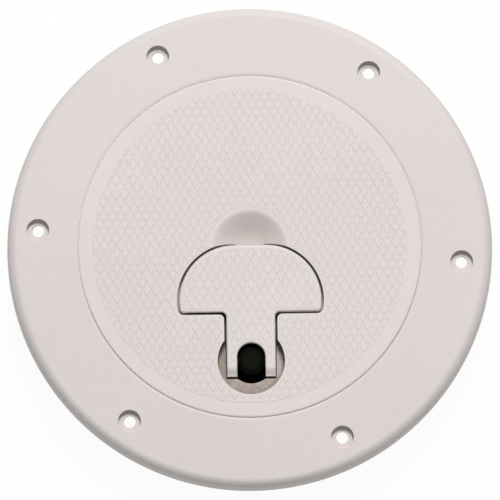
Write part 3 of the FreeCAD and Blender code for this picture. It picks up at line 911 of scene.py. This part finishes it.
@dataclass
class MountingRing:
    """Flange, seat and collar of the plate in one moulding, with its six screw holes."""

    flange_r: float = 101.6 * MM
    recess_r: float = 71.75 * MM
    top: float = TOP
    crown: float = 0.6 * MM
    draft: float = 0.7 * MM
    edge_w: float = 3.9 * MM
    edge_h: float = 6.0 * MM
    lip_w: float = 1.15 * MM
    lip_h: float = 0.50 * MM
    hold: float = 0.2 * MM
    seat: Step = (64.4 * MM, 3.0 * MM)
    under: float = -2.5 * MM
    collar_in: float = 73.2 * MM
    collar_r: float = 76.5 * MM
    collar_low: float = -26.0 * MM
    bevel: float = 0.5 * MM
    hollow: tuple[float, float] = (78.0 * MM, 98.2 * MM)
    roof: float = 6.8 * MM
    ribs: int = 18
    rib_half: float = 0.9 * MM
    screws: int = 6
    screw_circle: float = 88.65 * MM
    screw_turn: float = -5.1
    boss_r: float = 6.4 * MM
    core_r: float = 4.0 * MM
    screw_r: float = 2.5 * MM
    screw_floor: float = 2.2 * MM
    sunk_r: float = 4.7 * MM
    sunk_d: float = 3.3 * MM
    flare: float = 0.2 * MM
    sides: int = 252
    boss_sides: int = 48
    hole_sides: int = 64
    edge_steps: int = 14
    lip_steps: int = 5
    sink: float = 0.05 * MM
    roof_lap: float = 0.4 * MM
    wall_lap: float = 0.6 * MM
    clear: float = 1.0 * MM
    plastic: RingPlastic = field(default_factory=RingPlastic)

    def face(self) -> Step:
        """Outer and inner radius of the crowned face."""
        return self.flange_r - self.draft - self.edge_w, self.recess_r + self.lip_w

    def top_steps(self) -> list[Step]:
        """Rounded edge, crowned face, lip, seat and the inside of the collar.

        Returns:
            Radii and levels from the outer wall inwards.
        """
        edge_r, lip_r = self.face()
        edge_z = self.top - self.crown - self.edge_h
        steps = [(edge_r + self.edge_w, edge_z)]
        for index in range(1, self.edge_steps + 1):
            turn = math.radians(90.0 * index / self.edge_steps)
            steps.append((edge_r + self.edge_w * math.cos(turn),
                          edge_z + self.edge_h * math.sin(turn)))
        lip_z = self.top - self.lip_h
        slope = self.crown / (edge_r - lip_r)
        steps.append((edge_r - self.hold, self.top - self.crown + slope * self.hold))
        steps.append((lip_r + self.hold, self.top - slope * self.hold))
        for index in range(self.lip_steps + 1):
            turn = math.radians(90.0 * index / self.lip_steps)
            steps.append((lip_r - self.lip_w * math.sin(turn),
                          lip_z + self.lip_h * math.cos(turn)))
        throat, seat_z = self.seat
        return steps + [(self.recess_r, lip_z - self.hold), (self.recess_r, seat_z),
                        (throat, seat_z), (throat, self.under), (self.collar_in, self.under),
                        (self.collar_in, self.collar_low)]

    def bottom_steps(self) -> list[Step]:
        """Hollow under the flange and the outside of the collar, from the outer wall inwards."""
        inner, outer = self.hollow
        return [(outer, 0.0), (outer, self.roof), (inner, self.roof), (inner, 0.0),
                (self.collar_r, 0.0), (self.collar_r, self.collar_low + self.bevel),
                (self.collar_r - self.bevel, self.collar_low), (self.collar_in, self.collar_low)]

    def stiffeners(self) -> Piece:
        """Makes the ribs and the screw bosses of the hollow.

        Returns:
            All of them as one object.
        """
        inner, outer = self.hollow
        low, high = self.sink, self.roof + self.roof_lap
        rib = Bench.slab("ribs", (inner - self.wall_lap, -self.rib_half, low),
                         (outer + self.wall_lap, self.rib_half, high))
        ribs = Bench.around(rib, self.ribs, self.screw_turn + 180.0 / self.ribs)
        boss = Bench.drum("bosses", self.boss_r, low, high, self.boss_sides,
                          (self.screw_circle, 0.0))
        bosses = Bench.around(boss, self.screws, self.screw_turn)
        Bench.only(ribs)
        bosses.select_set(True)
        bpy.ops.object.join()
        return ribs

    def holes(self) -> Piece:
        """Makes the cutter of the screw holes with their sunk seats.

        Returns:
            All the cutters as one object.
        """
        edge_r, lip_r = self.face()
        face = self.top - self.crown * (self.screw_circle - lip_r) / (edge_r - lip_r)
        floor = face - self.sunk_d
        core = floor - self.screw_floor
        centre = (self.screw_circle, 0.0)
        low, clear = -self.clear, self.top + self.clear
        hole = Bench.drum("holes", self.core_r, low, core, self.hole_sides, centre)
        ease, mouth = self.flare * 0.3, self.sunk_r + self.flare
        steps = [(self.screw_r, core), (self.screw_r, floor), (self.sunk_r, floor),
                 (self.sunk_r, face - self.flare), (self.sunk_r + ease, face - ease),
                 (mouth, face), (mouth, clear)]
        Bench.lathe(hole, Side.TOP, (self.core_r, core), steps, centre)
        return Bench.around(hole, self.screws, self.screw_turn)

    def build(self) -> None:
        """Models the ring from one drum and dresses it."""
        start = 0.2 * MM
        ring = Bench.drum("ring_moulding", self.flange_r, 0.0, start, self.sides)
        Bench.lathe(ring, Side.TOP, (self.flange_r, start), self.top_steps())
        with Bench.editing(ring):
            Bench.pick(ring, "FACE", lambda middle, normal: normal.z > FACING
                       and Bench.off(middle) < NEAR_AXIS)
            bpy.ops.mesh.delete(type="FACE")
        Bench.lathe(ring, Side.BOTTOM, (self.flange_r, 0.0), self.bottom_steps())
        with Bench.editing(ring):
            Bench.pick(ring, "FACE", lambda middle, normal: Bench.off(middle) < NEAR_AXIS)
            bpy.ops.mesh.delete(type="FACE")
            bpy.ops.mesh.select_all(action="SELECT")
            bpy.ops.mesh.remove_doubles(threshold=0.001 * MM)
            bpy.ops.mesh.normals_make_consistent(inside=False)
        Bench.cut(ring, self.stiffeners(), Cut.JOIN)
        Bench.cut(ring, self.holes(), Cut.AWAY)
        Bench.smooth(ring)
        Bench.apply(ring, "WEIGHTED_NORMAL", keep_sharp=True, weight=90)
        paint(ring, self.plastic.build())
        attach(ring, Body.RING.value)
        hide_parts("mounting_ring")


@dataclass
class Lid:
    """Round lid with its seal and the tread on its top."""

    recess: Recess = field(default_factory=Recess)
    tread_r: float = 65.5 * MM
    border: float = 0.9 * MM
    reach: float = 2.0 * MM
    step_y: float = -55.35 * MM
    step_r: float = 9.3 * MM
    step_z: tuple[float, float] = (3.3 * MM, 7.0 * MM)
    step_lap: float = 0.05 * MM
    step_round: float = 0.35 * MM
    step_sides: int = 128
    area_sides: int = 192
    plastic: LidPlastic = field(default_factory=LidPlastic)
    rubber: SealRubber = field(default_factory=SealRubber)

    def tread_area(self) -> Piece:
        """Makes the block that keeps the tread off the rim and off every edge.

        Returns:
            The block.
        """
        cut, edge = self.recess, self.border
        low, high = TOP - self.reach, TOP + self.reach
        area = Bench.drum("area", self.tread_r, low, high, self.area_sides)
        deep, tall = low - self.reach, high + self.reach
        Bench.cut(area, cut.head("head", edge, deep, tall), Cut.AWAY)
        half = cut.stem_half + edge
        stem = Bench.slab("stem", (-half, POCKET_Y, deep), (half, cut.head_y, tall))
        Bench.cut(area, stem, Cut.AWAY)
        for name, radius, y in (("pocket", POCKET_R, POCKET_Y),
                                ("scoop", cut.scoop_r, cut.scoop_y)):
            hole = Bench.drum(name, radius + edge, deep, tall, centre=(0.0, y))
            Bench.cut(area, hole, Cut.AWAY)
        return area

    def step(self, finish: Material) -> None:
        """Makes the raised step of the pocket floor, in front of the cams.

        Args:
            finish: the lid's material.
        """
        cut = self.recess
        low, high = self.step_z
        centre = (0.0, POCKET_Y)
        step = Bench.drum("pocket_step", POCKET_R + self.step_lap, low, high,
                          self.step_sides, centre)
        with Bench.editing(step):
            bpy.ops.mesh.select_all(action="SELECT")
            bpy.ops.mesh.bisect(plane_co=(0.0, self.step_y, 0.0), plane_no=(0.0, 1.0, 0.0),
                                use_fill=True, clear_outer=True)
        well = Bench.drum("well", self.step_r, low - self.reach, high + self.reach,
                          centre=centre)
        Bench.cut(step, well, Cut.AWAY)
        Bench.apply(step, "BEVEL", width=self.step_round, segments=3, limit_method="ANGLE",
                    angle_limit=math.radians(60.0))
        Bench.smooth(step, 40.0)
        paint(step, finish)
        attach(step, Body.LID.value)

    def build(self) -> None:
        """Makes the tread and the step, and dresses the lid and its seal."""
        finish = self.plastic.build()
        self.step(finish)
        dress("lid", finish)
        dress("lid_seal", self.rubber.build())
        pads = Tread("lid_tread").field((-self.tread_r,) * 2, (self.tread_r,) * 2)
        Bench.cut(pads, self.tread_area(), Cut.KEEP)
        paint(pads, finish)
        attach(pads, Body.LID.value)


@dataclass
class Grip:
    """Folding handle with its cams, its cross pin and its tread."""

    recess: Recess = field(default_factory=Recess)
    gap: float = 0.95 * MM
    border: float = 1.5 * MM
    stem_half: float = 8.7 * MM
    notch_half: float = 5.9 * MM
    notch_y: float = -46.39 * MM
    notch_edge: float = 1.0 * MM
    notch_sides: int = 64
    slot_length: float = 30.0 * MM
    foot_y: float = -48.6 * MM
    reach: float = 2.0 * MM
    plastic: GripPlastic = field(default_factory=GripPlastic)
    steel: SatinSteel = field(default_factory=lambda: SatinSteel(
        name="greasy_steel", bright=(0.070, 0.066, 0.060, 1.0), dull=(0.035, 0.032, 0.028, 1.0),
        stain=(0.05, 0.03, 0.02, 1.0), roughness=0.55))

    def tread_area(self) -> Piece:
        """Makes the block that keeps the tread off the handle's edges.

        Returns:
            The block.
        """
        cut, edge = self.recess, self.gap + self.border
        low, high = TOP - self.reach, TOP + self.reach
        area = cut.head("area", -edge, low, high)
        stem = Bench.slab("stem", (-self.stem_half, self.foot_y, low),
                          (self.stem_half, cut.base_y + 2 * edge, high))
        Bench.cut(area, stem, Cut.JOIN)
        half = self.notch_half + self.notch_edge
        deep, tall = low - self.reach, high + self.reach
        notch = Bench.drum("notch", half, deep, tall, self.notch_sides, (0.0, self.notch_y))
        Bench.cut(area, notch, Cut.AWAY)
        slot = Bench.slab("slot", (-half, self.notch_y - self.slot_length, deep),
                          (half, self.notch_y, tall))
        Bench.cut(area, slot, Cut.AWAY)
        return area

    def build(self) -> None:
        """Makes the tread and dresses the handle and its pin."""
        finish = self.plastic.build()
        dress("handle", finish)
        dress("handle_pin", self.steel.build())
        tread = Tread("handle_tread", offset_x=0.35 * MM, offset_y=-9.88 * MM)
        cut = self.recess
        wide = cut.head_r + cut.head_flat
        pads = tread.field((-wide, self.foot_y), (wide, cut.head_y + cut.head_r))
        Bench.cut(pads, self.tread_area(), Cut.KEEP)
        paint(pads, finish)
        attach(pads, Body.HANDLE.value)


@dataclass
class Latch:
    """Spindle, spring, pawl and what holds them."""

    wire_r: float = 0.6 * MM
    mean_r: float = 9.6 * MM
    centre_y: float = POCKET_Y
    top: float = -6.6 * MM
    low: float = -11.8 * MM
    turns: float = 3.25
    turn_steps: int = 40
    wire_sides: int = 16
    black: BlackPlastic = field(default_factory=BlackPlastic)
    rubber: SealRubber = field(default_factory=lambda: SealRubber(name="o_ring_rubber"))
    steel: SatinSteel = field(default_factory=lambda: SatinSteel(name="latch_steel"))

    def spring(self, steel: Material) -> None:
        """Winds the latch spring from a circle of wire and grinds its two ends flat.

        Args:
            steel: the spring's material.
        """
        bpy.ops.object.select_all(action="DESELECT")
        bpy.ops.mesh.primitive_circle_add(
            vertices=self.wire_sides, radius=self.wire_r, rotation=(math.radians(90.0), 0.0, 0.0),
            location=(self.mean_r, 0.0, self.low + self.wire_r / 2))
        coil = Bench.settle(bpy.context.active_object, "latch_coil")
        rise, steps = self.top - self.low - self.wire_r, round(self.turns * self.turn_steps)
        Bench.apply(coil, "SCREW", angle=2 * math.pi * self.turns, screw_offset=rise,
                    iterations=1, steps=steps, render_steps=steps, use_merge_vertices=False)
        coil.location.y = self.centre_y
        Bench.settle(coil, "latch_coil")
        with Bench.editing(coil):
            bpy.ops.mesh.select_all(action="SELECT")
            bpy.ops.mesh.fill_holes(sides=0)
            bpy.ops.mesh.select_all(action="SELECT")
            bpy.ops.mesh.normals_make_consistent(inside=False)
            for level, outward in ((self.low, -1.0), (self.top, 1.0)):
                bpy.ops.mesh.select_all(action="SELECT")
                bpy.ops.mesh.bisect(plane_co=(0.0, 0.0, level), plane_no=(0.0, 0.0, outward),
                                    use_fill=False, clear_outer=True)
                bpy.ops.mesh.select_all(action="SELECT")
                bpy.ops.mesh.fill_holes(sides=0)
        Bench.smooth(coil, 40.0)
        paint(coil, steel)
        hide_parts("latch_spring")
        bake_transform(coil)

    def build(self) -> None:
        """Winds the spring and dresses the latch."""
        black = self.black.build()
        steel = self.steel.build()
        for node in ("spindle", "cam_washer", "latch_pawl"):
            dress(node, black)
        for node in ("spring_washer", "pawl_washer", "pawl_screw"):
            dress(node, steel)
        self.spring(steel)
        dress("spindle_o_ring", self.rubber.build())


@dataclass
class Studio:
    """Pale floor, soft light and the camera of the photograph."""

    floor_z: float = -26.0 * MM
    floor_size: float = 6.0
    floor_tint: Colour = (0.92, 0.92, 0.92, 1.0)
    whiteness: float = 0.95
    key_distance: float = 3.5
    key_height: float = 62.0
    key_turn: float = 8.0
    key_size: float = 0.98
    key_power: float = 97.0
    key_tint: Point = (1.0, 0.985, 0.975)
    fill: float = 0.29
    fill_tint: Colour = (0.95, 1.0, 1.02, 1.0)
    distance: float = 1.7
    tilt: float = 6.5
    roll: float = 0.85
    lens: float = 292.0
    aim: Point = (0.12 * MM, -0.63 * MM, 0.0)

    def floor(self) -> None:
        """Makes the floor, which shows pale and keeps the object's shadow."""
        bpy.ops.object.select_all(action="DESELECT")
        bpy.ops.mesh.primitive_plane_add(size=self.floor_size,
                                         location=(0.0, 0.0, self.floor_z))
        floor = Bench.settle(bpy.context.active_object, "studio_floor")
        recipe = Recipe(bpy.data.materials.new("studio_floor"))
        seen = recipe.node("ShaderNodeLightPath")
        plain = recipe.value("ShaderNodeBsdfDiffuse", None, {"Color": self.floor_tint})
        white = recipe.value("ShaderNodeEmission", None, {"Color": WHITE, "Strength": 1.0})
        direct = [Value(recipe, seen.outputs[key]) for key in
                  ("Is Camera Ray", "Is Glossy Ray", "Is Transmission Ray")]
        share = (direct[0] + direct[1] + direct[2]).held() * self.whiteness
        mixed = recipe.value("ShaderNodeMixShader", None, {0: share, 1: plain, 2: white})
        recipe.node("ShaderNodeOutputMaterial", None, {"Surface": mixed})
        floor.data.materials.append(recipe.owner)

    def sky(self) -> None:
        """Makes the soft fill, white where it is seen directly."""
        world = bpy.data.worlds.new("studio_sky")
        bpy.context.scene.world = world
        recipe = Recipe(world)
        seen = recipe.value("ShaderNodeLightPath", output="Is Camera Ray")
        soft = recipe.value("ShaderNodeBackground", None,
                            {"Color": self.fill_tint, "Strength": self.fill})
        white = recipe.value("ShaderNodeBackground", None, {"Color": WHITE, "Strength": 1.0})
        mixed = recipe.value("ShaderNodeMixShader", None, {0: seen, 1: soft, 2: white})
        recipe.node("ShaderNodeOutputWorld", None, {"Surface": mixed})

    def key(self) -> None:
        """Makes the key light."""
        lamp = bpy.data.lights.new("key_light", "AREA")
        lamp.shape = "DISK"
        lamp.size = self.key_size
        lamp.energy = self.key_power
        lamp.color = self.key_tint
        holder = bpy.data.objects.new("key_light", lamp)
        bpy.context.scene.collection.objects.link(holder)
        up, turn = math.radians(self.key_height), math.radians(self.key_turn)
        back = Vector((math.sin(turn) * math.cos(up), math.cos(turn) * math.cos(up), math.sin(up)))
        holder.location = back * self.key_distance
        holder.rotation_euler = (-back).to_track_quat("-Z", "Y").to_euler()

    def camera(self) -> None:
        """Makes the camera and hands it to the scene."""
        lens = bpy.data.cameras.new("photo_camera")
        lens.lens = self.lens
        lens.sensor_width = 36.0
        lens.clip_start, lens.clip_end = 0.01, 50.0
        holder = bpy.data.objects.new("photo_camera", lens)
        bpy.context.scene.collection.objects.link(holder)
        tilt = math.radians(self.tilt)
        back = Vector((0.0, -math.sin(tilt), math.cos(tilt)))
        holder.location = Vector(self.aim) + back * self.distance
        look = (-back).to_track_quat("-Z", "Y").to_matrix()
        turn = Euler((0.0, 0.0, -math.radians(self.roll))).to_matrix()
        holder.rotation_euler = (look @ turn).to_euler()
        bpy.context.scene.camera = holder

    def build(self) -> None:
        """Makes the whole studio."""
        self.floor()
        self.sky()
        self.key()
        self.camera()
        bpy.context.scene.view_settings.view_transform = "Standard"


def main() -> None:
    """Builds the studio, then each sub-assembly in order."""
    logging.basicConfig(level=logging.INFO, format="%(name)s: %(message)s")
    for part in (Studio(), MountingRing(), Lid(), Grip(), Latch()):
        part.build()
        LOG.info("built %s", type(part).__name__)


if __name__ == "__main__":
    main()
